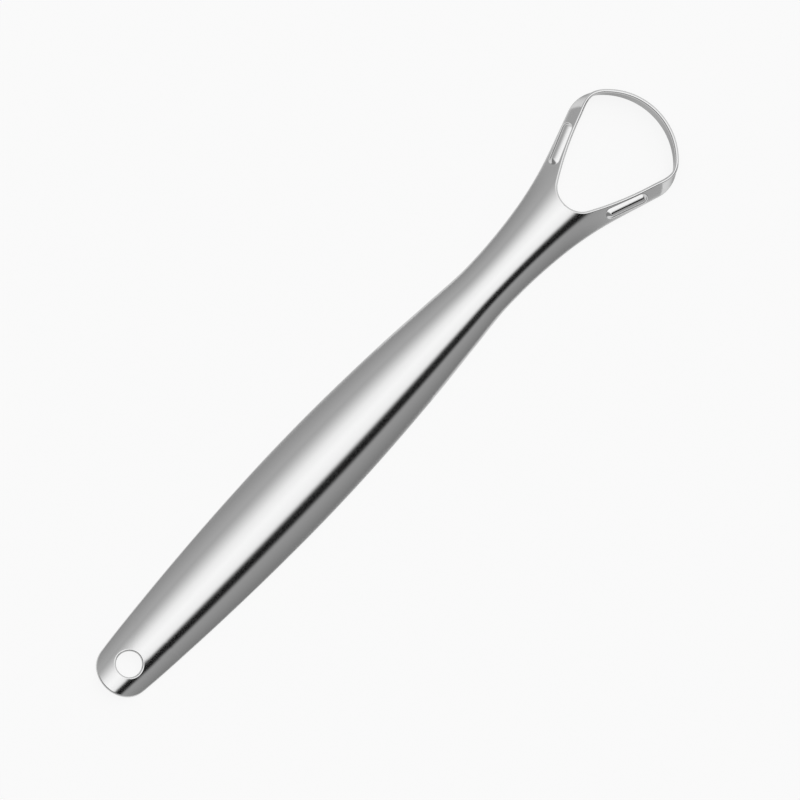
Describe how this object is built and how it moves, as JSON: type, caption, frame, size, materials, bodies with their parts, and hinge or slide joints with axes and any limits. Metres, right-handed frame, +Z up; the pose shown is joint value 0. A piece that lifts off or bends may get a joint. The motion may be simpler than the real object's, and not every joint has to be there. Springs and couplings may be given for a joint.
{
  "type": "tongue scraper",
  "caption": "Stainless tongue scraper: arched hollow-backed handle with a hang hole at the tail, forking into ribbed arms that carry a round scraping bow on edge.",
  "frame": {"origin": "under the middle of the tool, on the plane that its long edges lie on", "axes": "+X along the tool from the tail to the scraping bow, +Y to the left arm, +Z up out of the convex face"},
  "size_m": [0.15, 0.0236, 0.0039],
  "materials": {
    "satin_steel": "tumbled stainless sheet, satin, with burnished edges"
  },
  "bodies": {
    "root": {"tail_end": "satin_steel", "grip": "satin_steel", "neck": "satin_steel", "yoke": "satin_steel", "left_arm": "satin_steel", "right_arm": "satin_steel", "left_rib": "satin_steel", "right_rib": "satin_steel", "scraping_bow": "satin_steel"}
  },
  "joints": []
}
